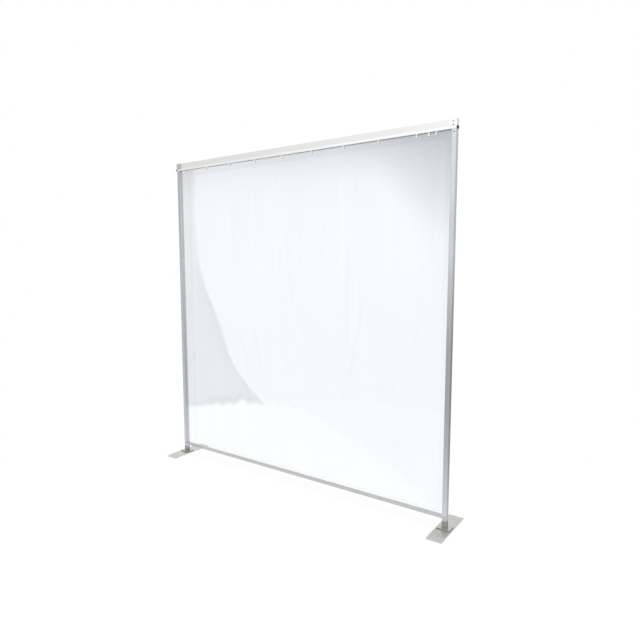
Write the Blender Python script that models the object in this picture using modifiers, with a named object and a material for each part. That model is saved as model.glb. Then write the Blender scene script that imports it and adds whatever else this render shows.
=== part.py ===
"""Free-standing clear curtain screen.

Two square posts and two rails make an upright frame. A clear sheet hangs inside it from
gliders that run in the top rail, and each post stands on a flat foot that swivels.
Metres, +Z up, X along the screen, -Y its front. The origin is on the floor, under the
middle of the whole screen. The script needs nothing but Blender:
blender --background --python part.py
"""

import math

import bpy
from mathutils import Matrix, Vector

# Overall size
HEIGHT = 2.000  # floor to the top of the top rail
WIDTH = 1.950  # outer face to outer face of the posts
GAP = 0.0003  # between two pieces that touch
HOLE_PLAY = 0.0003  # added to a screw's radius for its hole

# Square tube of the posts
TUBE = 0.025
WALL = 0.0015
TUBE_ROUND = 0.0012
POST_X = (WIDTH - TUBE) / 2

# Top rail: a box section with an open track along its underside
RAIL_HIGH = 0.046
RAIL_WALL = 0.0015
LIP_HIGH = 0.010
LIP_OUT = 0.0015  # how far the lip stands proud of the rail, front and back
TRACK_WALL = 0.0025
TRACK_HIGH = 0.011
TRACK_FLOOR = 0.0015
SLOT_PLAY = 0.00065  # between a glider's neck and the slot
TRACK_WIDE = TUBE - 2 * TRACK_WALL
RAIL_Z = HEIGHT - RAIL_HIGH  # the rail's underside
TRACK_Z = RAIL_Z + TRACK_FLOOR
CHAMBER_Z = TRACK_Z + TRACK_HIGH + RAIL_WALL
CHAMBER_TOP = HEIGHT - RAIL_WALL

# Bottom rail
LOW_RAIL_Z = 0.060
LOW_RAIL_HIGH = 0.012
LOW_RAIL_MID = LOW_RAIL_Z + LOW_RAIL_HIGH / 2
LOW_RAIL_IN = 0.035  # how far its connectors reach in

# Feet, from the floor up
PAD_THICK = 0.002
PAD_LONG = 0.030
PAD_INSET = 0.010
FOOT_LONG = 0.305
FOOT_WIDE = 0.080
FOOT_THICK = 0.006
FOOT_BACK = 0.008  # the foot's middle is this far behind the posts' middle plane
TAPER_LONG = 0.040
TAPER_DROP = 0.0035
FLANGE_WIDE = 0.072
FLANGE_DEEP = 0.055
FLANGE_THICK = 0.005
SOCKET_TOP = 0.028
PIN_R = 0.008
PIN_PLAY = 0.00006  # running clearance of the swivel, on the radius
PIN_TOP = LOW_RAIL_Z - 0.004  # the swivel ends below the bottom rail's connector
FOOT_Z = PAD_THICK + GAP
FLANGE_Z = FOOT_Z + FOOT_THICK + GAP
FLANGE_TOP = FLANGE_Z + FLANGE_THICK
COLLAR_THICK = 0.0015
COLLAR_Z = SOCKET_TOP + GAP
POST_Z = COLLAR_Z + COLLAR_THICK + GAP
PLUG_TOP = PIN_TOP + 0.0015

# Screws: M4 pan heads on the front, M6 countersunk bolts under the feet
SCREW_R = 0.002
SCREW_HEAD_R = 0.0036
SCREW_HEAD = 0.0022
SOCKET_R = 0.0015
BOLT_R = 0.003
BOLT_HEAD_R = 0.0058
BOLT_X = 0.025  # from the post's middle

# Corner brackets on the top rail
BRACKET_WIDE = 0.040
BRACKET_THICK = 0.0012
BRACKET_Z = RAIL_Z + LIP_HIGH + GAP
BRACKET_SIDE_Z = TRACK_Z + TRACK_HIGH + 0.001
BRACKET_SCREW_IN = 0.017  # from the post's outer face
BRACKET_SCREW_Z = (CHAMBER_Z + 0.0035, HEIGHT - 0.0120)
POST_SCREW_DOWN = 0.013
CORNER_DOWN = 0.035
PLUG_NOSE = {"left": 0.011, "right": 0.0015}  # what stands out of each track plug

# Curtain sheet and what it hangs from
SHEET = 0.0005
HEM = 0.0010  # two layers
HEM_TOP = 0.035
HEM_LOW = 0.015
HEM_LEFT = 0.085
HEM_RIGHT = 0.022
SHEET_SIDE_GAP = 0.0015
SHEET_TOP = TRACK_Z - GAP
SHEET_LOW = LOW_RAIL_Z + LOW_RAIL_HIGH + 0.004
GLIDER_WIDE = 0.0095
GLIDER_SIDE_PLAY = 0.0015
GLIDER_HEAD_DEEP = TRACK_WIDE - 2 * GLIDER_SIDE_PLAY
GLIDER_RISE = 0.0005  # of the head above the track's floor
GLIDER_TOP_PLAY = 0.0035
GLIDER_HEAD_HIGH = TRACK_HIGH - GLIDER_RISE - GLIDER_TOP_PLAY
GLIDER_NECK = 0.0020
GLIDER_PIN_R = 0.0020
GLIDER_BUTTON_R = 0.0050
EYELET_DOWN = 0.012  # below the rail
EYELET_R = GLIDER_PIN_R + 0.0005
EYELET_BARREL_R = EYELET_R + 0.0007
EYELET_OUT_R = 0.0058
EYELET_THICK = 0.0005
NECK_IN = HEM / 2 + GAP + EYELET_THICK + GAP  # the neck's back face, from the sheet's middle
SLOT_WIDE = 2 * (NECK_IN + GLIDER_NECK + SLOT_PLAY)
GLIDERS = 11
LEAD_FROM_RIGHT = (0.103, 0.140, 0.205)  # the close ones at the leading edge
LAST_FROM_LEFT = 0.060

ROUND_SIDES = 24
SMALL_SIDES = 14  # screws, eyelets and glider buttons
PIN_SIDES = 64


def clear_scene():
    for obj in list(bpy.data.objects):
        bpy.data.objects.remove(obj, do_unlink=True)
    for mesh in list(bpy.data.meshes):
        bpy.data.meshes.remove(mesh)


def new_collection(name):
    made = bpy.data.collections.new(name)
    bpy.context.scene.collection.children.link(made)
    return made


clear_scene()
PARTS = new_collection("welding_curtain_screen")
CUTTERS = new_collection("cutters")
EYELET_HOLES = bpy.data.collections.new("eyelet_holes")
CUTTERS.children.link(EYELET_HOLES)
ROOT = bpy.data.objects.new("screen_root", None)
ROOT.empty_display_size = 0.1
ROOT.location = (0, -FOOT_BACK, 0)
PARTS.objects.link(ROOT)


def material(name, colour, metallic, roughness, alpha=1.0):
    made = bpy.data.materials.new(name)
    made.use_nodes = True
    shader = made.node_tree.nodes["Principled BSDF"]
    shader.inputs["Base Color"].default_value = (*colour, 1)
    shader.inputs["Metallic"].default_value = metallic
    shader.inputs["Roughness"].default_value = roughness
    shader.inputs["Alpha"].default_value = alpha
    made.diffuse_color = (*colour, alpha)
    made.metallic = metallic
    made.roughness = roughness
    return made


TUBE_ALUMINIUM = material("tube_aluminium", (0.72, 0.73, 0.73), 1.0, 0.28)
RAIL_ALUMINIUM = material("rail_aluminium", (0.80, 0.81, 0.81), 1.0, 0.35)
LOW_RAIL_ALUMINIUM = material("low_rail_aluminium", (0.66, 0.67, 0.66), 1.0, 0.30)
BRACKET_ALUMINIUM = material("bracket_aluminium", (0.86, 0.87, 0.87), 1.0, 0.40)
BLOCK_ALUMINIUM = material("block_aluminium", (0.70, 0.70, 0.71), 1.0, 0.45)
FOOT_STEEL = material("foot_steel", (0.56, 0.56, 0.54), 1.0, 0.38)
SOCKET_STEEL = material("socket_steel", (0.38, 0.38, 0.36), 1.0, 0.40)
SCREW_STEEL = material("screw_steel", (0.42, 0.42, 0.43), 1.0, 0.30)
BLACK_PLASTIC = material("black_plastic", (0.02, 0.02, 0.02), 0.0, 0.50)
PLUG_PLASTIC = material("plug_plastic", (0.62, 0.63, 0.63), 0.0, 0.45)
WHITE_NYLON = material("white_nylon", (0.88, 0.88, 0.86), 0.0, 0.40)
EYELET_NICKEL = material("eyelet_nickel", (0.74, 0.73, 0.70), 1.0, 0.22)
PAD_RUBBER = material("pad_rubber", (0.05, 0.05, 0.05), 0.0, 0.80)
CLEAR_VINYL = material("clear_vinyl", (0.86, 0.91, 0.96), 0.0, 0.08, 0.25)


def place(obj, collection):
    """Moves an object from the active collection to the one it belongs to."""
    for holder in list(obj.users_collection):
        holder.objects.unlink(obj)
    collection.objects.link(obj)
    obj.parent = ROOT
    if collection is CUTTERS:
        obj.hide_render = True
        obj.display_type = "WIRE"
    return obj


def named(obj, name, finish, at=(0, 0, 0)):
    """Puts the origin at a point of the part's frame and gives the name and the finish."""
    obj.name = name
    obj.data.name = name
    obj.data.transform(obj.matrix_basis)
    obj.data.transform(Matrix.Translation(-Vector(at)))
    obj.matrix_basis = Matrix.Translation(Vector(at))
    obj.data.materials.clear()
    if finish is not None:
        obj.data.materials.append(finish)
    return obj


def box(low, high, collection=None, name="box", finish=None):
    """A box between two corners, with its origin at its middle."""
    middle = (Vector(low) + Vector(high)) / 2
    bpy.ops.mesh.primitive_cube_add(size=1, location=middle)
    made = bpy.context.object
    made.scale = Vector(high) - Vector(low)
    named(made, name, finish, middle)
    return place(made, collection or CUTTERS)


def cylinder(start, end, radius, sides=ROUND_SIDES, collection=None, name="rod", finish=None):
    """A cylinder between two points of its axis."""
    along = Vector(end) - Vector(start)
    middle = (Vector(start) + Vector(end)) / 2
    bpy.ops.mesh.primitive_cylinder_add(
        vertices=sides, radius=radius, depth=along.length, location=middle
    )
    made = bpy.context.object
    made.rotation_euler = along.to_track_quat("Z", "Y").to_euler()
    bpy.context.view_layer.update()
    named(made, name, finish, middle)
    return place(made, collection or CUTTERS)


def turned(profile, at, axis, sides=ROUND_SIDES, collection=None, name="turned", finish=None):
    """A profile of (radius, height) points turned about an axis. It runs down the outer side."""
    outline = bpy.data.meshes.new(name)
    outline.from_pydata(
        [(radius, 0, height) for radius, height in profile],
        [(i, i + 1) for i in range(len(profile) - 1)],
        [],
    )
    made = bpy.data.objects.new(name, outline)
    bpy.context.scene.collection.objects.link(made)
    screw = made.modifiers.new("turn", "SCREW")
    screw.steps = sides
    screw.render_steps = sides
    screw.use_merge_vertices = True
    screw.merge_threshold = 0.00001
    made.rotation_euler = Vector(axis).to_track_quat("Z", "Y").to_euler()
    made.location = at
    made.data.name = name
    if finish is not None:
        made.data.materials.append(finish)
    return place(made, collection or CUTTERS)


def boolean(target, other, operation):
    step = target.modifiers.new(f"{operation.lower()}_{other.name}", "BOOLEAN")
    step.operation = operation
    step.solver = "EXACT"
    step.object = other
    return target


def cut(target, *others):
    for other in others:
        boolean(target, other, "DIFFERENCE")
    return target


def cut_together(target, holder):
    """Cuts every object of a collection in one step."""
    step = target.modifiers.new(f"difference_{holder.name}", "BOOLEAN")
    step.operation = "DIFFERENCE"
    step.solver = "EXACT"
    step.operand_type = "COLLECTION"
    step.collection = holder
    return target


def join(target, *others):
    for other in others:
        boolean(target, other, "UNION")
    return target


def soften(obj, width, along=None, segments=2):
    """Rounds a box's edges, or only the edges that run along one axis."""
    rounding = obj.modifiers.new("round", "BEVEL")
    rounding.width = width
    rounding.segments = segments
    rounding.limit_method = "ANGLE"
    if along is not None:
        weights = obj.data.attributes.new("bevel_weight_edge", "FLOAT", "EDGE")
        for edge in obj.data.edges:
            a, b = (obj.data.vertices[i].co for i in edge.vertices)
            weights.data[edge.index].value = float(abs((b - a).normalized()[along]) > 0.9)
        rounding.limit_method = "WEIGHT"
    return obj


def smooth(obj):
    """Shades round pieces smooth and keeps their sharp edges."""
    for face in obj.data.polygons:
        face.use_smooth = True
    obj.data.set_sharp_from_angle(angle=math.radians(35))
    return obj


def realised(obj):
    """The mesh of an object with its modifiers applied, in its own frame. The object goes."""
    bpy.context.view_layer.update()
    graph = bpy.context.evaluated_depsgraph_get()
    mesh = bpy.data.meshes.new_from_object(obj.evaluated_get(graph))
    mesh.transform(obj.matrix_basis)
    bpy.data.objects.remove(obj, do_unlink=True)
    return mesh


def instance(mesh, name, at, finish):
    """One more object with a shared mesh."""
    made = bpy.data.objects.new(name, mesh)
    made.location = at
    if not mesh.materials:
        mesh.materials.append(finish)
    PARTS.objects.link(made)
    made.parent = ROOT
    return made


def part(low, high, name, finish):
    return box(low, high, PARTS, name, finish)


def screw_mesh(length):
    """A pan-head screw along +Y with its head's underside at Y = 0."""
    profile = [
        (0, SCREW_HEAD),
        (SCREW_HEAD_R * 0.70, SCREW_HEAD * 0.90),
        (SCREW_HEAD_R, SCREW_HEAD * 0.40),
        (SCREW_HEAD_R, 0),
        (SCREW_R, 0),
        (SCREW_R - 0.0003, -length),
        (0, -length),
    ]
    made = turned(profile, (0, 0, 0), (0, -1, 0), SMALL_SIDES, name="screw_blank")
    drive = cylinder(
        (0, -SCREW_HEAD * 2, 0), (0, -SCREW_HEAD * 0.40, 0), SOCKET_R, 6, name="screw_drive"
    )
    cut(made, drive)
    mesh = realised(made)
    for face in mesh.polygons:
        face.use_smooth = True
    mesh.set_sharp_from_angle(angle=math.radians(35))
    return mesh


def hole(x, z, start, end, name):
    """A cutter for a front screw's hole, along Y."""
    return cylinder((x, start, z), (x, end, z), SCREW_R + HOLE_PLAY, name=name)


FRONT = -TUBE / 2
INSIDE = TUBE / 2 - WALL
DEEP_SCREW = 0.0095
SHORT_SCREW = WALL + (INSIDE - PIN_R) - GAP
long_screw = screw_mesh(DEEP_SCREW)
long_screw.name = "long_screw"
short_screw = screw_mesh(SHORT_SCREW)
short_screw.name = "clamp_screw"

# Top rail
half = WIDTH / 2
top_rail = part((-half, FRONT, RAIL_Z), (half, -FRONT, HEIGHT), "top_rail", RAIL_ALUMINIUM)
soften(top_rail, TUBE_ROUND, along=0)
lip = box(
    (-half, FRONT - LIP_OUT, RAIL_Z), (half, -FRONT + LIP_OUT, RAIL_Z + LIP_HIGH), name="lip"
)
soften(lip, LIP_OUT * 0.6, along=0)
past = half + 0.01
chamber = box(
    (-past, -INSIDE, CHAMBER_Z), (past, INSIDE, CHAMBER_TOP), name="chamber"
)
track = box(
    (-past, -TRACK_WIDE / 2, TRACK_Z), (past, TRACK_WIDE / 2, TRACK_Z + TRACK_HIGH), name="track"
)
slot = box(
    (-past, -SLOT_WIDE / 2, RAIL_Z - 0.01), (past, SLOT_WIDE / 2, TRACK_Z + 0.002), name="slot"
)
join(top_rail, lip)
cut(top_rail, chamber, track, slot)

# Bottom rail
low_half = half - TUBE - GAP
low_rail = part(
    (-low_half, FRONT, LOW_RAIL_Z),
    (low_half, -FRONT, LOW_RAIL_Z + LOW_RAIL_HIGH),
    "bottom_rail",
    LOW_RAIL_ALUMINIUM,
)
soften(low_rail, TUBE_ROUND, along=0)
low_bore = box(
    (-past, -INSIDE, LOW_RAIL_Z + WALL),
    (past, INSIDE, LOW_RAIL_Z + LOW_RAIL_HIGH - WALL),
    name="low_bore",
)
cut(low_rail, low_bore)


def build_side(side, sign):
    """Everything at one end of the screen. sign is -1 on the left and 1 on the right."""
    x = sign * POST_X
    outer = sign * half

    def span(a, b):
        return min(a, b), max(a, b)

    # Post tube, with holes for its front screws and a window for the rail connector
    post = part(
        (x - TUBE / 2, FRONT, POST_Z),
        (x + TUBE / 2, -FRONT, RAIL_Z - GAP),
        f"post_{side}",
        TUBE_ALUMINIUM,
    )
    soften(post, TUBE_ROUND, along=2)
    bore = box(
        (x - INSIDE, -INSIDE, POST_Z - 0.01),
        (x + INSIDE, INSIDE, RAIL_Z + 0.01),
        name=f"post_bore_{side}",
    )
    post_screw_z = RAIL_Z - POST_SCREW_DOWN
    clamp_z = (POST_Z + PLUG_TOP) / 2
    block_y = INSIDE - 0.002
    tongue_high = LOW_RAIL_HIGH - 2 * WALL - 2 * GAP
    tongue_z = LOW_RAIL_MID - tongue_high / 2
    window_x = span(x - sign * 0.5 * TUBE - sign * 0.005, x - sign * (INSIDE - 0.002))
    window = box(
        (window_x[0], -block_y - GAP, tongue_z - GAP),
        (window_x[1], block_y + GAP, tongue_z + tongue_high + GAP),
        name=f"window_{side}",
    )
    cut(post, bore, window)
    for z, label in ((post_screw_z, "top"), (LOW_RAIL_MID, "rail"), (clamp_z, "clamp")):
        cut(post, hole(x, z, FRONT - 0.004, -INSIDE + 0.002, f"post_hole_{label}_{side}"))

    # Corner block: one end in the post, a neck through the track, the other in the rail
    tongue = INSIDE - GAP
    neck_y = SLOT_WIDE / 2 - GAP
    corner = part(
        (x - tongue, -tongue, RAIL_Z - CORNER_DOWN),
        (x + tongue, tongue, RAIL_Z - GAP),
        f"corner_block_{side}",
        BLOCK_ALUMINIUM,
    )
    inner_end = x - sign * 0.025
    outer_end = outer - sign * 0.001
    upper_x = span(inner_end, outer_end)
    upper = box(
        (upper_x[0], -tongue, CHAMBER_Z + GAP),
        (upper_x[1], tongue, CHAMBER_TOP - GAP),
        name=f"corner_upper_{side}",
    )
    neck = box(
        (x - tongue + 0.0025, -neck_y, RAIL_Z - 0.005),
        (x + tongue - 0.0045, neck_y, CHAMBER_Z + 0.005),
        name=f"corner_neck_{side}",
    )
    notch = box(
        (x - tongue + 0.0025 - GAP, -neck_y - GAP, RAIL_Z - 0.01),
        (x + tongue - 0.0045 + GAP, neck_y + GAP, CHAMBER_Z + 0.001),
        name=f"rail_notch_{side}",
    )
    join(corner, neck, upper)
    cut(top_rail, notch)
    cut(
        corner,
        hole(x, post_screw_z, -tongue - 0.002, FRONT + DEEP_SCREW + 0.0010, f"corner_hole_{side}"),
    )

    # Corner bracket: a cover on the rail's front that turns round its end
    bracket_x = span(outer - sign * BRACKET_WIDE, outer + sign * (GAP + BRACKET_THICK))
    bracket = part(
        (bracket_x[0], FRONT - GAP - BRACKET_THICK, BRACKET_Z),
        (bracket_x[1], FRONT - GAP, HEIGHT),
        f"bracket_{side}",
        BRACKET_ALUMINIUM,
    )
    return_x = span(outer + sign * GAP, outer + sign * (GAP + BRACKET_THICK))
    side_return = box(
        (return_x[0], FRONT - GAP - BRACKET_THICK / 2, BRACKET_SIDE_Z),
        (return_x[1], -FRONT, HEIGHT - 0.0005),
        name=f"bracket_return_{side}",
    )
    join(bracket, side_return)
    screw_x = outer - sign * BRACKET_SCREW_IN
    front = FRONT - GAP - BRACKET_THICK
    for n, z in enumerate(BRACKET_SCREW_Z, start=1):
        cut(bracket, hole(screw_x, z, front - 0.002, FRONT + 0.0005, f"bracket_hole_{side}_{n}"))
        cut(top_rail, hole(screw_x, z, FRONT - 0.002, -INSIDE + 0.001, f"rail_hole_{side}_{n}"))
        cut(
            corner,
            hole(screw_x, z, -INSIDE - 0.001, front + DEEP_SCREW + 0.001, f"block_{side}_{n}"),
        )
        instance(
            long_screw, f"bracket_screw_{side}_{n}", (screw_x, front - GAP, z), SCREW_STEEL
        )
    instance(long_screw, f"post_screw_{side}", (x, FRONT - GAP, post_screw_z), SCREW_STEEL)

    # Track plug: closes the end of the track
    nose = PLUG_NOSE[side]
    head_x = span(outer + sign * GAP, outer + sign * (GAP + 0.0015 + nose))
    plug = part(
        (head_x[0], -TRACK_WIDE / 2 - 0.0015, RAIL_Z + 0.0004),
        (head_x[1], TRACK_WIDE / 2 + 0.0015, BRACKET_SIDE_Z - GAP),
        f"track_plug_{side}",
        BLACK_PLASTIC,
    )
    soften(plug, 0.0006)
    shank_x = span(outer - sign * 0.0035, outer + sign * (GAP + 0.001))
    shank = box(
        (shank_x[0], -TRACK_WIDE / 2 + GAP, TRACK_Z + GAP),
        (shank_x[1], TRACK_WIDE / 2 - GAP, TRACK_Z + TRACK_HIGH - GAP),
        name=f"plug_shank_{side}",
    )
    join(plug, shank)

    # Connector of the bottom rail: its tongue is screwed inside the post
    tongue_x = span(x + sign * 0.007, outer - sign * (TUBE + LOW_RAIL_IN))
    connector = part(
        (tongue_x[0], -block_y, tongue_z),
        (tongue_x[1], block_y, tongue_z + tongue_high),
        f"rail_connector_{side}",
        BLOCK_ALUMINIUM,
    )
    cut(
        connector,
        hole(x, LOW_RAIL_MID, -block_y - 0.002, FRONT + DEEP_SCREW + 0.001, f"tongue_{side}"),
    )
    instance(long_screw, f"rail_screw_{side}", (x, FRONT - GAP, LOW_RAIL_MID), SCREW_STEEL)

    # Plug in the post's lower end: the collar and the bore that turns on the foot's pin
    collar = part(
        (x - TUBE / 2, FRONT, COLLAR_Z),
        (x + TUBE / 2, -FRONT, COLLAR_Z + COLLAR_THICK),
        f"post_plug_{side}",
        PLUG_PLASTIC,
    )
    sleeve = box(
        (x - tongue, -tongue, COLLAR_Z + COLLAR_THICK / 2),
        (x + tongue, tongue, PLUG_TOP),
        name=f"sleeve_{side}",
    )
    pin_bore = cylinder(
        (x, 0, COLLAR_Z - 0.005),
        (x, 0, PLUG_TOP + 0.005),
        PIN_R + PIN_PLAY,
        PIN_SIDES,
        name=f"pin_bore_{side}",
    )
    join(collar, sleeve)
    cut(collar, pin_bore, hole(x, clamp_z, -tongue - 0.002, -PIN_R / 2, f"clamp_hole_{side}"))
    instance(short_screw, f"clamp_screw_{side}", (x, FRONT - GAP, clamp_z), SCREW_STEEL)

    # Foot: an empty on the swivel's axis carries all that turns
    flange = part(
        (x - FLANGE_WIDE / 2, -FLANGE_DEEP / 2, FLANGE_Z),
        (x + FLANGE_WIDE / 2, FLANGE_DEEP / 2, FLANGE_TOP),
        f"foot_socket_{side}",
        SOCKET_STEEL,
    )
    soften(flange, 0.0006)
    column = box(
        (x - TUBE / 2, FRONT, FLANGE_TOP - 0.002),
        (x + TUBE / 2, -FRONT, SOCKET_TOP),
        name=f"column_{side}",
    )
    soften(column, TUBE_ROUND, along=2)
    pin = cylinder((x, 0, SOCKET_TOP - 0.005), (x, 0, PIN_TOP), PIN_R, PIN_SIDES, name=f"pin_{side}")
    join(flange, column, pin)

    foot_y = FOOT_BACK
    plate = part(
        (x - FOOT_WIDE / 2, foot_y - FOOT_LONG / 2, FOOT_Z),
        (x + FOOT_WIDE / 2, foot_y + FOOT_LONG / 2, FOOT_Z + FOOT_THICK),
        f"foot_plate_{side}",
        FOOT_STEEL,
    )
    soften(plate, 0.0015, along=2)
    slope = math.atan2(TAPER_DROP, TAPER_LONG)
    for end, label in ((-1, "front"), (1, "back")):
        wedge = box(
            (x - FOOT_WIDE, -0.05, 0), (x + FOOT_WIDE, 0.05, 0.03), name=f"taper_{label}_{side}"
        )
        edge_y = foot_y + end * (FOOT_LONG / 2 - TAPER_LONG)
        turn = Matrix.Rotation(-end * slope, 4, "X")
        shift = Vector((0, end * 0.05, 0.015))
        wedge.rotation_euler = turn.to_euler()
        wedge.location = Vector((x, edge_y, FOOT_Z + FOOT_THICK)) + turn @ shift
        cut(plate, wedge)
        pad_y = sorted(
            foot_y + end * (FOOT_LONG / 2 - PAD_INSET - distance) for distance in (0, PAD_LONG)
        )
        pad = part(
            (x - FOOT_WIDE / 2 + 0.002, pad_y[0], 0),
            (x + FOOT_WIDE / 2 - 0.002, pad_y[1], PAD_THICK),
            f"foot_pad_{side}_{label}",
            PAD_RUBBER,
        )
        soften(pad, 0.0006)
    for n, offset in enumerate((-BOLT_X, BOLT_X), start=1):
        at = (x + offset, 0, FOOT_Z)
        sink = turned(
            [
                (0, FOOT_THICK + 0.0050),
                (BOLT_R + HOLE_PLAY, FOOT_THICK + 0.0050),
                (BOLT_R + HOLE_PLAY, 0.0038),
                (BOLT_HEAD_R + HOLE_PLAY, 0.0010),
                (BOLT_HEAD_R + HOLE_PLAY, -0.0050),
                (0, -0.0050),
            ],
            at,
            (0, 0, 1),
            name=f"bolt_sink_{side}_{n}",
        )
        cut(plate, sink)
        thread = cylinder(
            (at[0], 0, FLANGE_Z - 0.001),
            (at[0], 0, FLANGE_TOP - 0.0008),
            BOLT_R + HOLE_PLAY,
            name=f"thread_{side}_{n}",
        )
        cut(flange, thread)
        bolt_top = FLANGE_TOP - 0.0012 - FOOT_Z
        bolt = turned(
            [
                (0, bolt_top),
                (BOLT_R - 0.0005, bolt_top),
                (BOLT_R, bolt_top - 0.0006),
                (BOLT_R, 0.0038),
                (BOLT_HEAD_R, 0.0010),
                (BOLT_HEAD_R, 0.0004),
                (0, 0.0004),
            ],
            at,
            (0, 0, 1),
            collection=PARTS,
            name=f"foot_bolt_{side}_{n}",
            finish=SCREW_STEEL,
        )
        smooth(bolt)

    axis = bpy.data.objects.new(f"swivel_axis_{side}", None)
    axis.empty_display_size = 0.05
    axis.location = (x, 0, 0)
    axis.parent = ROOT
    PARTS.objects.link(axis)
    bpy.context.view_layer.update()
    for obj in list(PARTS.objects):
        if obj.name.startswith("foot_") and f"_{side}" in obj.name:
            obj.parent = axis
            obj.location = Vector(obj.location) - Vector(axis.location)


build_side("left", -1)
build_side("right", 1)

# Curtain: a thin sheet with double-layer hems, hung through eyelets
sheet_left = -half + TUBE + SHEET_SIDE_GAP
sheet_right = half - TUBE - SHEET_SIDE_GAP
curtain = part(
    (sheet_left, -HEM / 2, SHEET_LOW), (sheet_right, HEM / 2, SHEET_TOP), "curtain", CLEAR_VINYL
)
for direction, label in ((-1, "front"), (1, "back")):
    near, far = sorted((direction * SHEET / 2, direction * (HEM + 0.002)))
    panel = box(
        (sheet_left + HEM_LEFT, near, SHEET_LOW + HEM_LOW),
        (sheet_right - HEM_RIGHT, far, SHEET_TOP - HEM_TOP),
        name=f"panel_{label}",
    )
    cut(curtain, panel)

# Gliders and eyelets share one mesh each, modelled about the eyelet's middle
eyelet_z = RAIL_Z - EYELET_DOWN
neck_back = -NECK_IN
neck_front = neck_back - GLIDER_NECK
head_z = TRACK_Z + GLIDER_RISE - eyelet_z
glider = box(
    (-GLIDER_WIDE / 2, -GLIDER_HEAD_DEEP / 2, head_z),
    (GLIDER_WIDE / 2, GLIDER_HEAD_DEEP / 2, head_z + GLIDER_HEAD_HIGH),
    name="glider_blank",
)
soften(glider, 0.0012, segments=1)
neck_plate = box(
    (-GLIDER_WIDE / 2 + 0.001, neck_front, -GLIDER_BUTTON_R * 0.5),
    (GLIDER_WIDE / 2 - 0.001, neck_back, head_z + 0.003),
    name="glider_neck",
)
button = turned(
    [
        (0, 0.0022),
        (GLIDER_BUTTON_R * 0.75, 0.0018),
        (GLIDER_BUTTON_R, 0.0008),
        (GLIDER_BUTTON_R, -0.0006),
        (0, -0.0006),
    ],
    (0, neck_front, 0),
    (0, -1, 0),
    SMALL_SIDES,
    name="glider_button",
)
back_cap = turned(
    [
        (0, 0.0018),
        (EYELET_OUT_R * 0.6, 0.0018),
        (EYELET_OUT_R * 0.8, 0.0008),
        (EYELET_OUT_R * 0.8, 0),
        (0, 0),
    ],
    (0, -neck_back, 0),
    (0, 1, 0),
    SMALL_SIDES,
    name="glider_cap",
)
glider_pin = cylinder(
    (0, neck_back - 0.001, 0), (0, 0.0006 - neck_back, 0), GLIDER_PIN_R, 10, name="glider_pin"
)
join(glider, neck_plate, button, glider_pin, back_cap)
glider_mesh = realised(glider)
for face in glider_mesh.polygons:
    face.use_smooth = True
glider_mesh.set_sharp_from_angle(angle=math.radians(35))
glider_mesh.name = "glider"

flange_in = HEM / 2 + GAP
flange_out = flange_in + EYELET_THICK
eyelet = turned(
    [
        (EYELET_R, flange_out),
        (EYELET_OUT_R - 0.0004, flange_out),
        (EYELET_OUT_R, flange_in),
        (EYELET_BARREL_R, flange_in),
        (EYELET_BARREL_R, -flange_in),
        (EYELET_OUT_R, -flange_in),
        (EYELET_OUT_R - 0.0004, -flange_out),
        (EYELET_R, -flange_out),
    ],
    (0, 0, 0),
    (0, -1, 0),
    SMALL_SIDES,
    name="eyelet_blank",
)
eyelet.data.edges.add(1)
eyelet.data.edges[-1].vertices = (len(eyelet.data.vertices) - 1, 0)
eyelet_mesh = realised(eyelet)
for face in eyelet_mesh.polygons:
    face.use_smooth = True
eyelet_mesh.set_sharp_from_angle(angle=math.radians(35))
eyelet_mesh.name = "eyelet"

first_x = [half - inset for inset in LEAD_FROM_RIGHT]
last_x = -half + LAST_FROM_LEFT
pitch = (first_x[-1] - last_x) / (GLIDERS - len(first_x))
glider_x = first_x + [first_x[-1] - pitch * n for n in range(1, GLIDERS - len(first_x) + 1)]
for n, x in enumerate(glider_x, start=1):
    carrier = bpy.data.objects.new(f"glider_axis_{n:02d}", None)
    carrier.empty_display_size = 0.02
    carrier.location = (x, 0, eyelet_z)
    carrier.parent = ROOT
    PARTS.objects.link(carrier)
    for mesh, kind, finish in (
        (glider_mesh, "glider", WHITE_NYLON),
        (eyelet_mesh, "eyelet", EYELET_NICKEL),
    ):
        made = instance(mesh, f"{kind}_{n:02d}", (0, 0, 0), finish)
        made.parent = carrier
    eyelet_hole = cylinder(
        (x, -0.01, eyelet_z), (x, 0.01, eyelet_z), EYELET_BARREL_R + GAP, name=f"eyelet_hole_{n:02d}"
    )
    CUTTERS.objects.unlink(eyelet_hole)
    EYELET_HOLES.objects.link(eyelet_hole)
cut_together(curtain, EYELET_HOLES)

bpy.ops.object.select_all(action="DESELECT")
CUTTERS.hide_render = True
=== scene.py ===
import math

import bmesh
import bpy
import numpy as np
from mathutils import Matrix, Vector


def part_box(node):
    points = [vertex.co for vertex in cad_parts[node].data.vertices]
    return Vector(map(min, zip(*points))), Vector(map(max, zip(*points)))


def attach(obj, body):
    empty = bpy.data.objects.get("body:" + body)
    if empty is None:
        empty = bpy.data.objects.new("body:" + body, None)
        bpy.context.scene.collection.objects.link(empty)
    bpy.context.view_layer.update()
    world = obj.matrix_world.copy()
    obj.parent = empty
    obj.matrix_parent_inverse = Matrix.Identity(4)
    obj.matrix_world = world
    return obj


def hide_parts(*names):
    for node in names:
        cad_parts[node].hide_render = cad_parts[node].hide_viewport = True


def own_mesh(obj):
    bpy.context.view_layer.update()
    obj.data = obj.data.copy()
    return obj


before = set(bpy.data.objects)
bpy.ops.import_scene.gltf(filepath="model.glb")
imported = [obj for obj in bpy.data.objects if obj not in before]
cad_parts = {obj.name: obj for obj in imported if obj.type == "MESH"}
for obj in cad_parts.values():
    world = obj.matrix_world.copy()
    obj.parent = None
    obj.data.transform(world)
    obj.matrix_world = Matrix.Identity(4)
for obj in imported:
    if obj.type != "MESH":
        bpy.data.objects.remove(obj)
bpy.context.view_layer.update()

# Looks of a free-standing clear curtain screen: a material for every CAD node, a film in place
# of the CAD curtain, and a studio round it. Metres, +Z up, -Y is the front.

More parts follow.
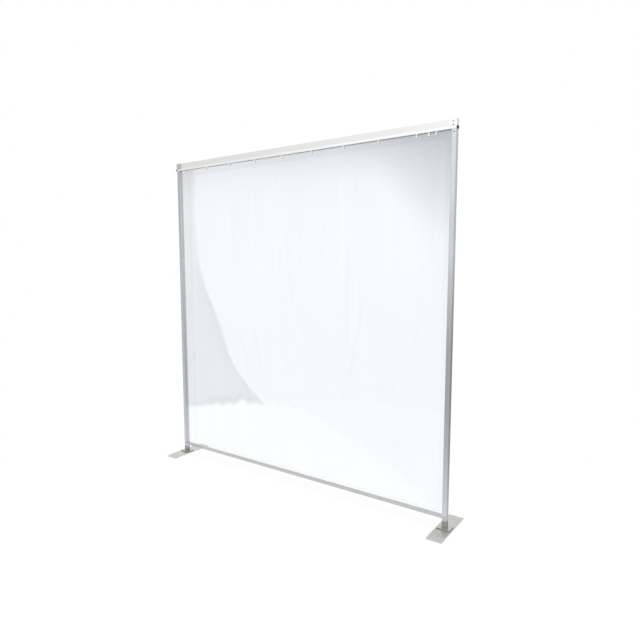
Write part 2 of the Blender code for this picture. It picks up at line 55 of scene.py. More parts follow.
# ---------------------------------------------------------------- sizes from the frame
SHEET_LOW, SHEET_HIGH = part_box("curtain")
MID_Y = (SHEET_LOW.y + SHEET_HIGH.y) / 2
SHEET_WIDE = SHEET_HIGH.x - SHEET_LOW.x
SHEET_TALL = SHEET_HIGH.z - SHEET_LOW.z
GLIDER_COUNT = sum(1 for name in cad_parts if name.startswith("glider_"))
EYELETS = [
    (sum(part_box(f"eyelet_{n:02d}"), Vector()) / 2) for n in range(1, GLIDER_COUNT + 1)
]

# ---------------------------------------------------------------- sizes of the film
FILM_HALF = 0.00025  # half its thickness
HEM_HALF = 0.00050
HEM_TOP, HEM_LOW, HEM_LEFT, HEM_RIGHT = 0.035, 0.015, 0.085, 0.022
WELD_WIDE = 0.006
STEP_WIDE = 0.0015  # where the hem's second layer ends
RIM_WIDE = 0.0012  # a row of narrow faces at the cut edge
HOLE_R = 0.0036
HOLE_BORDER = 0.0016  # a ring of faces round each hole
HOLE_BLOCK = 0.008  # half the square of grid that a hole replaces
HOLE_FLAT, HOLE_EASE = 0.010, 0.03  # the film is flat this near a hole, and free further off
GRID = 0.011  # about the size of a face
SHARP_DEGREES = 60  # its faces are shaded smooth below this angle

# The long fold's line: how far down it is, as a share of the drop, and how far across
FOLD_DOWN = (0.00, 0.05, 0.28, 0.344, 0.404, 0.474, 0.56, 0.643, 0.706, 0.765, 0.79)
FOLD_ACROSS = (0.115, 0.120, 0.132, 0.160, 0.205, 0.268, 0.345, 0.415, 0.500, 0.640, 0.700)
FOLD_WANDER = 0.006
# The line under which the film is clearest, a painted light that makes it read brighter low down:
# across and up, and how deep its teeth are
PAINTED_LIGHT_ACROSS = (0.0, 0.10, 0.50, 0.95, 1.15, 1.35, 1.63, 1.80, 1.90)
PAINTED_LIGHT_UP = (0.250, 0.270, 0.36, 0.41, 0.36, 0.28, 0.17, 0.06, 0.0)
TEETH = 0.016

# The film's broad waves: depth, length, phase, lean on the way down, and how much of the
# depth comes only with the drop
WAVES = (
    (0.0022, 0.4212, 0.10, 0.05, 0.0),
    (0.0016, 0.2300, 0.35, -0.30, 0.0),
    (0.0007, 0.1270, 0.70, 0.55, 0.6),
    (0.0005, 0.0810, 0.20, -0.40, 1.0),
)
# The soft upright creases: (across, up) of each one's ends, its half width and strength
CREASES = (
    ((1.281, 1.72), (1.288, 1.16), 0.014, -0.55),
    ((1.318, 1.34), (1.325, 0.82), 0.013, 0.85),
    ((1.385, 1.18), (1.378, 0.88), 0.012, -0.60),
    ((1.418, 1.04), (1.345, 0.64), 0.012, 0.80),
    ((0.905, 1.40), (0.935, 1.05), 0.018, 0.40),
    ((0.640, 0.86), (0.700, 0.60), 0.014, 0.45),
    ((0.520, 0.80), (0.610, 0.55), 0.013, 0.50),
    ((0.490, 0.62), (0.590, 0.42), 0.014, 0.90),
    ((0.560, 0.56), (0.690, 0.40), 0.013, 0.80),
    ((1.745, 1.10), (1.735, 0.86), 0.012, 0.45),
    ((0.470, 1.66), (0.480, 1.30), 0.022, 0.25),
    ((0.660, 1.70), (0.672, 1.38), 0.020, 0.25),
)
CREASE_DEEP = 0.0012
FOLD_RISE, FOLD_DIP = 0.0042, 0.0030  # left and right of the long fold's line
SIDE_HELD, SIDE_EASE = 0.35, 0.03  # what the sides leave of the depth, and how far in

# Painted shade as grey haze: a painted shadow under the rail; painted shade in the top right
# corner, at the right edge, left of the long fold with more below and at the top, along the fold,
# over the clear zone; painted shade and light in creases and wrinkles
BAND_GREY, BAND_FADE = 0.22, 0.10
CORNER_GREY, EDGE_GREY = 0.245, 0.035
SIDE_GREY, SIDE_GREY_BELOW, SIDE_GREY_TOP = 0.085, 0.020, 0.035
RIDGE_GREY, RIDGE_FADE = 0.060, 0.045
FOOT_GREY, CREASE_GREY, WRINKLE_GREY = 0.045, 0.030, 0.022
LEAST_GREY = -0.02
# the fog left low down, where the film is painted clear as painted light
LEAST_FOG = 0.03

# ---------------------------------------------------------------- the film's look
MASKS = ("hem", "weld", "fog_and_painted_light", "painted_shade", "rim")  # the names of its vertex attributes
TINT = (0.985, 0.992, 1.0)  # of what is seen through it
MILK = (0.40, 0.53, 0.95)  # of thin haze
PAINTED_SHADE_GREY = (0.375, 0.408, 0.455)  # of the painted shade, laid on as grey haze
PAINTED_SHADE_FULL = 0.08  # the painted shade at which its colour is all PAINTED_SHADE_GREY
HAZE_FOG, HAZE_CLOUD, HAZE_STREAK = 0.028, 0.006, 0.005
HAZE_HEM, HAZE_WELD, HAZE_RIM = 0.012, 0.022, 0.30
VINYL_IOR = 1.45


# ---------------------------------------------------------------- material helpers
def node(tree, kind, settings=None, **inputs):
    """Adds a node. An input is a value, or a socket to link from. Its key is the socket's name
    with _ for a space, or iN for the N-th socket."""
    made = tree.nodes.new("ShaderNode" + kind)
    for key, value in (settings or {}).items():
        setattr(made, key, value)
    for key, value in inputs.items():
        numbered = key[0] == "i" and key[1:].isdigit()
        feed(tree, made.inputs[int(key[1:]) if numbered else key.replace("_", " ")], value)
    return made


def feed(tree, socket, value):
    if isinstance(value, bpy.types.NodeSocket):
        tree.links.new(value, socket)
    else:
        socket.default_value = value


def new_material(name):
    made = bpy.data.materials.new(name)
    made.use_nodes = True
    made.node_tree.nodes.clear()
    return made, made.node_tree


def finish_material(tree, shader):
    out = node(tree, "OutputMaterial")
    tree.links.new(shader.outputs[0], out.inputs["Surface"])


def coords(tree, scale):
    place = node(tree, "TexCoord").outputs["Object"]
    return node(tree, "Mapping", Vector=place, Scale=scale).outputs[0]


def grained(tree, along, across_scale, along_scale):
    """Coordinates for a noise that is drawn out along one axis."""
    scale = [across_scale] * 3
    scale[along] = along_scale
    return coords(tree, scale)


def noise(tree, vector, scale, detail=3.0, rough=0.5):
    return node(
        tree, "TexNoise", Vector=vector, Scale=scale, Detail=detail, Roughness=rough
    ).outputs["Fac"]


def remap(tree, value, low, high, to_low=0.0, to_high=1.0):
    """Takes low..high to to_low..to_high, and stops at both ends."""
    return node(
        tree, "MapRange", Value=value, From_Min=low, From_Max=high, To_Min=to_low, To_Max=to_high
    ).outputs[0]


def math_node(tree, operation, a, b=0.0):
    return node(tree, "Math", {"operation": operation}, i0=a, i1=b).outputs[0]


def add(tree, a, b):
    return math_node(tree, "ADD", a, b)


def times(tree, a, b):
    return math_node(tree, "MULTIPLY", a, b)


def blend_colour(tree, factor, a, b):
    made = node(tree, "Mix", {"data_type": "RGBA"})
    for place, value in ((0, factor), (6, a), (7, b)):  # the sockets of a colour mix
        feed(tree, made.inputs[place], value)
    return made.outputs[2]


def shade(colour, by):
    return (*(min(1.0, c * by) for c in colour), 1.0)


def mottle(tree, pattern, colour, tone):
    """The colour, tone darker to tone lighter by the pattern."""
    return blend_colour(
        tree, remap(tree, pattern, 0.3, 0.7), shade(colour, 1 - tone), shade(colour, 1 + tone)
    )


def z_share(tree, vector, start, full):
    """0 to 1 as a vector's Z goes from start to full."""
    return remap(tree, node(tree, "SeparateXYZ", Vector=vector).outputs["Z"], start, full)


def edge_mask(tree, radius):
    """1 on an edge and 0 on a face, and the rounded normal."""
    rounded = node(tree, "Bevel", {"samples": 4}, Radius=radius).outputs[0]
    flat = node(tree, "NewGeometry").outputs["Normal"]
    aligned = node(tree, "VectorMath", {"operation": "DOT_PRODUCT"}, i0=rounded, i1=flat)
    return remap(tree, aligned.outputs["Value"], 0.99, 0.85), rounded


# ---------------------------------------------------------------- materials
def metal(name, colour, roughness, along, tone=0.05, smudge=0.08, edge=0.0006,
          anisotropic=0.0, painted_height_shade=None, painted_side_shade=None):
    """Drawn or brushed metal. along is the axis that its grain runs along: 0, 1 or 2.
    painted_height_shade is where along Z a darker tone starts and is full, and that tone: a
    painted shade.
    painted_side_shade is the tone of the upright faces, a painted shade."""
    grain, scratch = 0.06, 0.04
    made, tree = new_material(name)
    fine = noise(tree, grained(tree, along, 1400.0, 5.0), 1.0, 2.0)
    streak = noise(tree, grained(tree, along, 160.0, 1.6), 1.0, 3.0)
    nick = noise(tree, grained(tree, along, 420.0, 22.0), 1.0, 1.0)
    nick = remap(tree, nick, 0.70, 0.76)
    cloud = noise(tree, coords(tree, (7.0, 7.0, 7.0)), 1.0, 4.0, 0.6)
    edges, rounded = edge_mask(tree, edge)

    base = mottle(tree, streak, colour, tone)
    base = blend_colour(tree, remap(tree, cloud, 0.35, 0.75, 0.0, 0.35), base, shade(colour, 0.90))
    base = blend_colour(tree, times(tree, edges, 0.6), base, shade(colour, 1.18))
    # painted shade: a darker tone below or above a height, laid on the colour
    if painted_height_shade:
        start, full, dark = painted_height_shade
        place = node(tree, "TexCoord").outputs["Object"]
        base = blend_colour(tree, z_share(tree, place, start, full), base, shade(colour, dark))
    # painted shade: upright faces darker than the tops, by their direction
    if painted_side_shade:
        normal = node(tree, "NewGeometry").outputs["Normal"]
        upright = z_share(tree, normal, 0.9, 0.6)
        base = blend_colour(tree, upright, base, shade(colour, painted_side_shade))

    rough = add(tree, remap(tree, fine, 0.25, 0.75, -grain / 2, grain / 2), roughness)
    rough = add(tree, remap(tree, cloud, 0.4, 0.75, 0.0, smudge), rough)
    rough = add(tree, times(tree, nick, scratch), rough)
    rough = math_node(tree, "SUBTRACT", rough, times(tree, edges, 0.05))
    height = math_node(tree, "SUBTRACT", fine, times(tree, nick, 0.8))
    bump = node(tree, "Bump", Height=height, Normal=rounded, Strength=0.12, Distance=0.00004)
    shader = node(
        tree, "BsdfPrincipled", Base_Color=base, Metallic=1.0, Roughness=rough,
        Normal=bump.outputs[0], Anisotropic=anisotropic,
    )
    finish_material(tree, shader)
    return made


def plastic(name, colour, roughness, speckle=900.0, subsurface=0.0):
    """Moulded plastic or rubber, with a fine spark-eroded texture."""
    tone, edge = 0.06, 0.0004
    made, tree = new_material(name)
    place = coords(tree, (1.0, 1.0, 1.0))
    grit = noise(tree, place, speckle, 3.0)
    cloud = noise(tree, place, 45.0, 3.0)
    edges, rounded = edge_mask(tree, edge)
    rubbed = shade([c + 0.05 for c in colour], 1.1)
    base = mottle(tree, cloud, colour, tone)
    base = blend_colour(tree, times(tree, edges, 0.35), base, rubbed)
    rough = add(tree, remap(tree, grit, 0.3, 0.7, -0.06, 0.06), roughness)
    bump = node(tree, "Bump", Height=grit, Normal=rounded, Strength=0.25, Distance=0.00006)
    shader = node(
        tree, "BsdfPrincipled", Base_Color=base, Roughness=rough, Normal=bump.outputs[0],
        Subsurface_Weight=subsurface,
    )
    finish_material(tree, shader)
    return made


def vinyl(name):
    """Clear film. The mesh's masks say where it is doubled, welded, foggy, grey with painted shade
    or cut; its fog is taken away low down as painted light.
    """
    made, tree = new_material(name)
    flat = node(tree, "Attribute", {"attribute_name": "flat"}).outputs["Vector"]
    hem, weld, fog_and_painted_light, painted_shade, rim = (
        node(tree, "Attribute", {"attribute_name": mask}).outputs["Fac"] for mask in MASKS
    )

    def flat_noise(scale, detail):
        place = node(tree, "Mapping", Vector=flat, Scale=scale).outputs[0]
        return noise(tree, place, 1.0, detail)

    streak = flat_noise((22.0, 2.2, 1.0), 4.0)
    cloud = flat_noise((3.2, 2.6, 1.0), 3.0)
    orange_peel = noise(tree, flat, 260.0, 2.0)
    rib = node(
        tree, "TexWave", {"bands_direction": "DIAGONAL"}, Vector=flat, Scale=190.0
    ).outputs["Fac"]

    haze_and_painted_shade = add(
        tree, remap(tree, streak, 0.3, 0.7, -HAZE_STREAK, HAZE_STREAK),
        remap(tree, cloud, 0.3, 0.7, HAZE_FOG - HAZE_CLOUD, HAZE_FOG + HAZE_CLOUD),
    )
    # the fog is taken away low down: painted light
    haze_and_painted_shade = times(tree, haze_and_painted_shade, fog_and_painted_light)
    # the grey haze from the painted-shade mask is painted shade
    for mask, depth in ((hem, HAZE_HEM), (weld, HAZE_WELD), (rim, HAZE_RIM), (painted_shade, 1.0)):
        haze_and_painted_shade = add(tree, haze_and_painted_shade, times(tree, mask, depth))
    haze_and_painted_shade = node(tree, "Math", {"operation": "MAXIMUM", "use_clamp": True}, i0=haze_and_painted_shade, i1=0.0)

    height = add(tree, times(tree, orange_peel, 0.5), times(tree, rib, weld))
    bump = node(tree, "Bump", Height=height, Strength=0.20, Distance=0.0002).outputs[0]
    # painted shade turns the haze from milk to grey
    haze_and_shade_colour = blend_colour(tree, remap(tree, painted_shade, 0.0, PAINTED_SHADE_FULL), (*MILK, 1.0), (*PAINTED_SHADE_GREY, 1.0))
    clear = node(tree, "BsdfTransparent", Color=(*TINT, 1.0))
    milk = node(tree, "BsdfPrincipled", Base_Color=haze_and_shade_colour, Roughness=0.30, Normal=bump)
    gloss = node(tree, "BsdfGlossy", Color=(1.0, 1.0, 1.0, 1.0), Roughness=0.12, Normal=bump)
    # only the outer side of each face mirrors, or a ray inside the film would never leave it
    inner = node(tree, "NewGeometry").outputs["Backfacing"]
    mirror = node(tree, "Fresnel", IOR=VINYL_IOR, Normal=bump).outputs[0]
    mirror = times(tree, mirror, remap(tree, inner, 0.0, 1.0, 1.0, 0.0))
    body = node(tree, "MixShader", i0=haze_and_painted_shade.outputs[0], i1=clear.outputs[0], i2=milk.outputs[0])
    shader = node(tree, "MixShader", i0=mirror, i1=body.outputs[0], i2=gloss.outputs[0])
    finish_material(tree, shader)
    return made


# painted shade: the posts are painted darker below 48 mm, at their foot
TUBE = metal("tube_aluminium_look", (0.645, 0.664, 0.692), 0.20, 2, anisotropic=0.3,
             painted_height_shade=(0.0485, 0.0480, 0.55))
# painted shade on the rail's face above its lower lip, so the lip reads as a painted highlight
RAIL = metal("rail_aluminium_look", (1.0, 1.0, 0.995), 0.42, 0, painted_height_shade=(1.963, 1.969, 0.87))
LOW_RAIL = metal("low_rail_aluminium_look", (0.60, 0.605, 0.58), 0.30, 0)
BRACKET = metal("bracket_aluminium_look", (0.93, 0.93, 0.93), 0.45, 0)
# the left bracket is a darker copy of the bracket's metal: painted shade at the rail's left end
PAINTED_SHADE_LEFT_BRACKET = metal("left_bracket_painted_shade_look", (0.62, 0.63, 0.62), 0.40, 0)
BLOCK = metal("block_aluminium_look", (0.70, 0.70, 0.71), 0.45, 2)
FOOT = metal("foot_steel_look", (0.70, 0.705, 0.655), 0.36, 1, tone=0.08, smudge=0.10)
# painted shade on the socket's upright faces; its tops stay lighter
SOCKET = metal("socket_steel_look", (0.66, 0.67, 0.625), 0.38, 0, painted_side_shade=0.55)
SCREW = metal("screw_steel_look", (0.45, 0.45, 0.46), 0.28, 1, edge=0.0003)
NICKEL = metal("eyelet_nickel_look", (0.78, 0.77, 0.74), 0.18, 2, edge=0.0002)
BLACK = plastic("black_plastic_look", (0.018, 0.018, 0.020), 0.45)
PLUG = plastic("plug_plastic_look", (0.55, 0.56, 0.56), 0.42)
NYLON = plastic("white_nylon_look", (0.93, 0.93, 0.92), 0.35, subsurface=0.08)
RUBBER = plastic("pad_rubber_look", (0.045, 0.045, 0.045), 0.75, speckle=500.0)
VINYL = vinyl("clear_vinyl_look")

# A node takes the first look whose start its name has
FINISHES = (
    ("post_screw", SCREW), ("post_plug", PLUG), ("post_", TUBE), ("top_rail", RAIL),
    ("bottom_rail", LOW_RAIL), ("bracket_screw", SCREW), ("bracket_left", PAINTED_SHADE_LEFT_BRACKET),
    ("bracket_", BRACKET), ("corner_block", BLOCK), ("rail_connector", BLOCK),
    ("rail_screw", SCREW), ("clamp_screw", SCREW), ("track_plug", BLACK), ("foot_plate", FOOT),
    ("foot_socket", SOCKET), ("foot_bolt", SCREW), ("foot_pad", RUBBER), ("glider_", NYLON),
    ("eyelet_", NICKEL), ("curtain", VINYL),
)
for name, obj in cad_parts.items():
    look = next(finish for start, finish in FINISHES if name.startswith(start))
    for slot in obj.material_slots:
        slot.material = look


# ---------------------------------------------------------------- the film's shape
# u is how far across the flat film a point is, from its left edge, and v how far up
def ease(value, start, end):
    """A smooth step from 0 at start to 1 at end."""
    t = np.clip((value - start) / (end - start), 0, 1)
    return t * t * (3 - 2 * t)


def hump(value, middle, half):
    return np.exp(-(((value - middle) / half) ** 2))


def fold_line(down):
    """How far across the long fold is, at a share of the drop."""
    return np.interp(down, FOLD_DOWN, FOLD_ACROSS) + FOLD_WANDER * np.sin(24 * down + 1.0)


def painted_light_line(u):
    """How far up the clear zone, a painted light, reaches."""
    teeth = TEETH * np.sin(u / 0.0260) * np.sin(u / 0.0710 + 0.6) * ease(u, 0.2, 0.4)
    return np.interp(u, PAINTED_LIGHT_ACROSS, PAINTED_LIGHT_UP) + teeth * (1 - ease(u, 1.1, 1.3))


def creases(u, v):
    """How strong the upright creases are, as a share of the full one."""
    total = 0.0
    for (u0, v0), (u1, v1), half, strength in CREASES:
        along = np.clip((v0 - v) / (v0 - v1), 0, 1)
        across = hump(u, u0 + (u1 - u0) * along, half)
        total += strength * across * ease(v, v1 - 0.06, v1 + 0.04) * ease(v, v0 + 0.06, v0 - 0.04)
    return total


def level_wrinkles(u, v):
    """The short level wrinkles low on the right and in the left corner."""
    wave = 0.57 + 0.16 * (u - 1.35) + 0.012 * np.sin(u / 0.031)
    right = (0.55 + 0.45 * np.sin(u / 0.047)) * hump(v, wave, 0.020)
    right = right * ease(u, 1.28, 1.40) * ease(u, 1.80, 1.66)
    left = hump(v, 0.292 + 0.05 * u, 0.012) * ease(u, 0.19, 0.15)
    return 0.6 * right + left


def hang(u, v):
    """How far the film stands off its plane."""
    down = np.clip((SHEET_TALL - v) / SHEET_TALL, 0, 1)
    y = 0.0
    for depth, length, phase, lean, grows in WAVES:
        swing = np.sin(2 * np.pi * (u / length + phase + lean * down))
        y = y + depth * swing * (1 - grows + grows * down)
    fold = fold_line(down)
    along = ease(down, 0.15, 0.40) * ease(down, 0.86, 0.78)
    y += FOLD_RISE * hump(u, fold - 0.020, 0.040) * along
    y -= FOLD_DIP * hump(u, fold + 0.060, 0.060) * along
    y += CREASE_DEEP * (creases(u, v) + level_wrinkles(u, v))
    free = ease(SHEET_TALL - v, 0.02, 0.37)
    side = np.clip(np.minimum(u, SHEET_WIDE - u) / SIDE_EASE, 0, 1)
    return y * free * (SIDE_HELD + (1 - SIDE_HELD) * side)


def painted_shade_at(u, v):
    """How much painted shade there is, laid on as grey haze."""
    drop = SHEET_TALL - v
    down = drop / SHEET_TALL
    band = BAND_GREY * np.exp(-drop / BAND_FADE) * (0.62 + 0.38 * ease(u, 0.4, 1.1))
    corner_reach = 0.22 + 0.38 * ease(u, 1.45, 1.85)
    corner = CORNER_GREY * ease(u, 1.15, 1.90) * ease(drop, corner_reach, 0.0)
    edge = EDGE_GREY * ease(u, 1.70, 1.90) * ease(drop, 1.3, 0.2)

    fold = fold_line(down)
    over = painted_light_line(u)
    left_of = ease(fold - u, -0.022, 0.022) * ease(v, over - 0.01, over + 0.02)
    side = SIDE_GREY + SIDE_GREY_BELOW * ease(down, 0.3, 0.5)
    side = left_of * (side + SIDE_GREY_TOP * ease(down, 0.15, 0.0))
    ridge = RIDGE_GREY * np.exp(-np.clip(fold - u, 0, 1) / RIDGE_FADE) * left_of
    ridge = ridge * ease(down, 0.28, 0.42) * ease(down, 0.80, 0.55)
    foot = FOOT_GREY * hump(v, over + 0.035, 0.024) * ease(u, 0.75, 0.45) * ease(u, 0.1, 0.3)

    marks = CREASE_GREY * creases(u, v) + WRINKLE_GREY * level_wrinkles(u, v)
    return np.maximum(band + corner + edge + side + ridge + foot + marks, LEAST_GREY)


def fog_and_painted_light_at(u, v):
    """How foggy the film is: clearest low down, a painted light that makes the film read brighter
    there.
    """
    line = painted_light_line(u)
    soft = 0.012 + 0.05 * ease(u, 0.9, 1.4)
    return LEAST_FOG + (1 - LEAST_FOG) * ease(v, line - soft, line + soft)


# ---------------------------------------------------------------- the film's mesh
def grid_lines(length, marks):
    """Grid lines from 0 to length that pass through the marks and are about GRID apart."""
    stops = sorted({0.0, length, *(round(m, 6) for m in marks if 0 < m < length)})
    found = [stops[0]]
    for a, b in zip(stops, stops[1:]):
        n = max(1, round((b - a) / GRID))
        found += [a + (b - a) * k / n for k in range(1, n + 1)]
    return np.array(found)


def hem_marks(low, high, size):
    """Where the grid needs lines for two opposite hems, their steps, welds and cut edges."""
    high = size - high
    return [low, low - STEP_WIDE, low - WELD_WIDE, high, high + STEP_WIDE, high + WELD_WIDE,
            RIM_WIDE, size - RIM_WIDE]


def flat_film(holes):
    """The flat film's points, as rows of (u, v), and its faces, with a round hole at each
    eyelet."""
    us_marks = hem_marks(HEM_LEFT, HEM_RIGHT, SHEET_WIDE)
    vs_marks = hem_marks(HEM_LOW, HEM_TOP, SHEET_TALL)
    for step in (-1, -0.5, 0, 0.5, 1):
        us_marks += [cu + step * HOLE_BLOCK for cu, _ in holes]
        vs_marks.append(holes[0][1] + step * HOLE_BLOCK)
    us = grid_lines(SHEET_WIDE, us_marks)
    vs = grid_lines(SHEET_TALL, vs_marks)
    grid_u, grid_v = np.meshgrid(us, vs, indexing="ij")
    points = [tuple(p) for p in np.stack([grid_u.ravel(), grid_v.ravel()], 1)]

    def at(i, j):
        return i * len(vs) + j

    in_block = set()
    rings = []
    for cu, cv in holes:
        i0, i1 = (int(np.argmin(abs(us - (cu + side)))) for side in (-HOLE_BLOCK, HOLE_BLOCK))
        j0, j1 = (int(np.argmin(abs(vs - (cv + side)))) for side in (-HOLE_BLOCK, HOLE_BLOCK))
        in_block |= {(i, j) for i in range(i0, i1) for j in range(j0, j1)}
        outer = [at(i, j0) for i in range(i0, i1)] + [at(i1, j) for j in range(j0, j1)]
        outer += [at(i, j1) for i in range(i1, i0, -1)] + [at(i0, j) for j in range(j1, j0, -1)]
        border, rim = [], []
        for k in outer:
            pu, pv = points[k]
            angle = math.atan2(pv - cv, pu - cu)
            for ring, radius in ((border, HOLE_R + HOLE_BORDER), (rim, HOLE_R)):
                ring.append(len(points))
                points.append((cu + radius * math.cos(angle), cv + radius * math.sin(angle)))
        rings.append((outer, border, rim))
    faces = [
        (at(i, j), at(i + 1, j), at(i + 1, j + 1), at(i, j + 1))
        for i in range(len(us) - 1)
        for j in range(len(vs) - 1)
        if (i, j) not in in_block
    ]
    for outer, border, rim in rings:
        for a, b in ((outer, border), (border, rim)):
            n = len(a)
            faces += [(a[k], a[(k + 1) % n], b[(k + 1) % n], b[k]) for k in range(n)]
    return np.array(points), faces


def two_sided(faces, n):
    """Faces for the front, the back n points later, and the cut edges between them."""
    both = list(faces) + [tuple(k + n for k in reversed(f)) for f in faces]
    sides = dict.fromkeys((a, b) for f in faces for a, b in zip(f, f[1:] + f[:1]))
    return both + [(b, a, a + n, b + n) for a, b in sides if (b, a) not in sides]


def set_attribute(mesh, name, kind, key, values):
    """Gives the front's points and the back's the same values."""
    both = np.concatenate([values, values]).astype(np.float32)
    mesh.attributes.new(name, kind, "POINT").data.foreach_set(key, both.ravel())


def drop_loose_points(mesh):
    work = bmesh.new()
    work.from_mesh(mesh)
    loose = [point for point in work.verts if not point.link_faces]
    bmesh.ops.delete(work, geom=loose, context="VERTS")
    work.to_mesh(mesh)
    work.free()


def build_film():
    holes = [(e.x - SHEET_LOW.x, EYELETS[0].z - SHEET_LOW.z) for e in EYELETS]
    flat, faces = flat_film(holes)
    u, v = flat[:, 0], flat[:, 1]
    to_hem = np.minimum.reduce([u - HEM_LEFT, SHEET_WIDE - HEM_RIGHT - u, v - HEM_LOW,
                                SHEET_TALL - HEM_TOP - v])
    hem = np.clip(-to_hem / STEP_WIDE, 0, 1)
    slack = 0.0002
    weld = np.where((to_hem <= slack) & (to_hem >= -WELD_WIDE - slack), 1.0, 0.0)
    rim = np.minimum.reduce([u, SHEET_WIDE - u, v, SHEET_TALL - v]) < 1e-6
    half = FILM_HALF + (HEM_HALF - FILM_HALF) * hem

    y = hang(u, v)
    for cu, cv in holes:
        y = y * np.clip((np.hypot(u - cu, v - cv) - HOLE_FLAT) / HOLE_EASE, 0, 1)
    x, z = u + SHEET_LOW.x, v + SHEET_LOW.z
    front = np.stack([x, MID_Y + y - half, z], 1)
    back = np.stack([x, MID_Y + y + half, z], 1)

    mesh = bpy.data.meshes.new("film")
    mesh.from_pydata(
        [tuple(p) for p in np.concatenate([front, back])], [], two_sided(faces, len(flat))
    )
    for name, values in zip(MASKS, (hem, weld, fog_and_painted_light_at(u, v), painted_shade_at(u, v), rim)):
        set_attribute(mesh, name, "FLOAT", "value", values)
    place = np.stack([u, v, np.zeros(len(flat))], 1)
    set_attribute(mesh, "flat", "FLOAT_VECTOR", "vector", place)
    mesh.update()
    drop_loose_points(mesh)
    for face in mesh.polygons:
        face.use_smooth = True
    mesh.set_sharp_from_angle(angle=math.radians(SHARP_DEGREES))
    mesh.materials.append(VINYL)
    made = bpy.data.objects.new("curtain_film", mesh)
    bpy.context.scene.collection.objects.link(made)
    return made


film = build_film()
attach(film, "frame")
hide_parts("curtain")
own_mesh(film)


# ---------------------------------------------------------------- floor
FLOOR_R = 2.0
FLOOR_RINGS, FLOOR_SIDES = 8, 128
FLOOR_GLOW, GLOW_SHARE = 1.02, 0.75  # the floor is partly self-lit, to stay as pale as the rest


def floor():
    """A round floor under the screen."""
    points, faces = [(0.0, 0.0, 0.0)], []
    for r in range(1, FLOOR_RINGS + 1):
        out = FLOOR_R * r / FLOOR_RINGS
        for k in range(FLOOR_SIDES):
            a = 2 * math.pi * k / FLOOR_SIDES
            points.append((out * math.cos(a), out * math.sin(a), 0.0))
    for k in range(FLOOR_SIDES):
        following = (k + 1) % FLOOR_SIDES
        faces.append((0, 1 + k, 1 + following))
        for r in range(FLOOR_RINGS - 1):
            a, b = 1 + r * FLOOR_SIDES + k, 1 + r * FLOOR_SIDES + following
            faces.append((a, a + FLOOR_SIDES, b + FLOOR_SIDES, b))
    mesh = bpy.data.meshes.new("studio_floor")
    mesh.from_pydata(points, [], faces)
    made = bpy.data.objects.new("studio_floor", mesh)
    bpy.context.scene.collection.objects.link(made)

    look, tree = new_material("studio_floor_look")
    grain = noise(tree, coords(tree, (1.0, 1.0, 1.0)), 3.0, 3.0)
    base = blend_colour(tree, grain, (0.91, 0.91, 0.91, 1), (0.94, 0.94, 0.94, 1))
    matt = node(tree, "BsdfPrincipled", Base_Color=base, Roughness=0.85)
    glow = node(tree, "Emission", Color=(1.0, 1.0, 1.0, 1.0), Strength=FLOOR_GLOW)
    shader = node(tree, "MixShader", i0=GLOW_SHARE, i1=matt.outputs[0], i2=glow.outputs[0])
    finish_material(tree, shader)
    mesh.materials.append(look)
    return made


studio_floor = floor()
studio_floor.visible_glossy = False


# ---------------------------------------------------------------- light
def softbox(name, at, look_at, size, power):
    data = bpy.data.lights.new(name, "AREA")
    data.shape = "RECTANGLE"
    data.size, data.size_y = size
    data.energy = power
    lamp = bpy.data.objects.new(name, data)
    lamp.location = at
    lamp.rotation_euler = (Vector(look_at) - Vector(at)).to_track_quat("-Z", "Y").to_euler()
    lamp.visible_camera = False
    bpy.context.scene.collection.objects.link(lamp)


softbox("softbox_top", (0.2, -0.8, 4.2), (0, -0.4, 0), (3.0, 3.0), 25)
softbox("softbox_front", (0.8, -3.0, 4.2), (0, 0, 1.0), (3.0, 2.0), 11)

# How bright the room is in a mirror, from a direction's Z of -0.5 to 0.5
ROOM_LEVELS = (
    (0.0, 1.0), (0.08, 0.95), (0.12, 0.66), (0.17, 0.54), (0.25, 0.45), (0.34, 0.45),
    (0.43, 0.60), (0.50, 0.88), (0.70, 1.0), (1.0, 0.95),
)


def grey(level):
    return (level, level, level, 1.0)


def room_levels(tree, height):
    """The room's brightness by height, as a ramp."""
    ramp = node(tree, "ValToRGB", Fac=remap(tree, height, -0.5, 0.5))
    stops = ramp.color_ramp.elements
    for stop, (position, level) in zip(stops, (ROOM_LEVELS[0], ROOM_LEVELS[-1])):
        stop.position, stop.color = position, grey(level)
    for position, level in ROOM_LEVELS[1:-1]:
        stops.new(position).color = grey(level)
    return ramp.outputs[0]


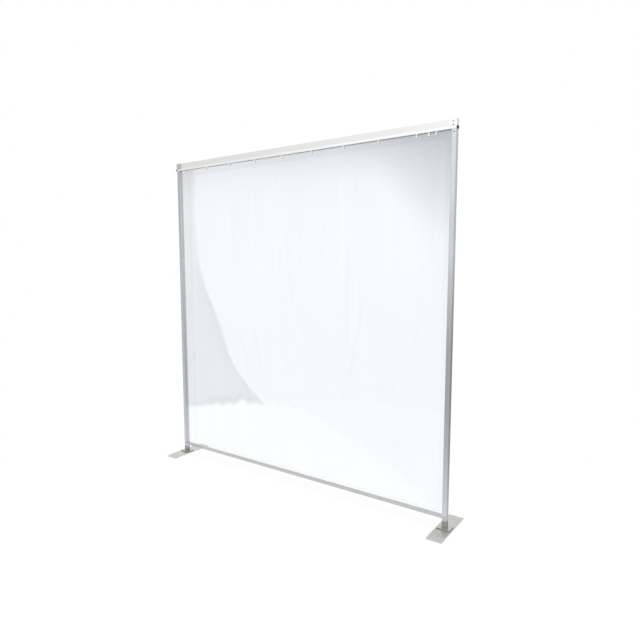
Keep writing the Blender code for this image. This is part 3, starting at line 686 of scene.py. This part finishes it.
def room_power(tree, x, y, z):
    """What the room's brightness is multiplied by, from a direction's three parts."""
    behind = remap(tree, y, -0.3, 0.4, 1.0, 0.80)
    # brighter from the left than from straight ahead or the right
    across = remap(tree, x, -0.32, -0.05, 1.17, 0.85)
    # far to the left, in front: brighter low down and darker high up
    left = times(tree, remap(tree, x, -0.45, -0.80), remap(tree, y, -0.25, -0.55))
    left = times(tree, left, remap(tree, z, -0.22, 0.06, 0.70, -0.48))
    # far to the right, behind: brighter, and most so low down
    right = times(tree, remap(tree, x, 0.45, 0.75), remap(tree, y, 0.25, 0.55))
    right = times(tree, right, remap(tree, z, -0.22, 0.08, 2.0, 0.58))
    power = times(tree, behind, add(tree, left, 1.0))
    power = times(tree, power, add(tree, right, 1.0))
    return times(tree, power, across)


def studio_world():
    """Plain white to the camera and to matt surfaces, and the room's levels to mirrors."""
    world = bpy.data.worlds.new("studio")
    bpy.context.scene.world = world
    world.use_nodes = True
    tree = world.node_tree
    tree.nodes.clear()
    direction = node(tree, "TexCoord").outputs["Generated"]
    x, y, z = node(tree, "SeparateXYZ", Vector=direction).outputs
    room = node(
        tree, "Background", Color=room_levels(tree, z), Strength=room_power(tree, x, y, z)
    )
    white = node(tree, "Background", Color=grey(1.0), Strength=1.0)
    ray = node(tree, "LightPath").outputs
    for kind in ("Is Diffuse Ray", "Is Camera Ray"):
        room = node(tree, "MixShader", i0=ray[kind], i1=room.outputs[0], i2=white.outputs[0])
    out = node(tree, "OutputWorld")
    tree.links.new(room.outputs[0], out.inputs["Surface"])


studio_world()

# ---------------------------------------------------------------- camera
camera_data = bpy.data.cameras.new("camera")
camera_data.sensor_width = 36.0
camera_data.lens = 29.475
camera_data.clip_start, camera_data.clip_end = 0.05, 100.0
camera = bpy.data.objects.new("camera", camera_data)
camera.location = (1.8968, -2.4253, 1.3239)
camera.rotation_euler = (math.radians(90 - 5.978), 0.0, math.radians(35.150))
bpy.context.scene.collection.objects.link(camera)
bpy.context.scene.camera = camera
bpy.context.scene.view_settings.view_transform = "Standard"
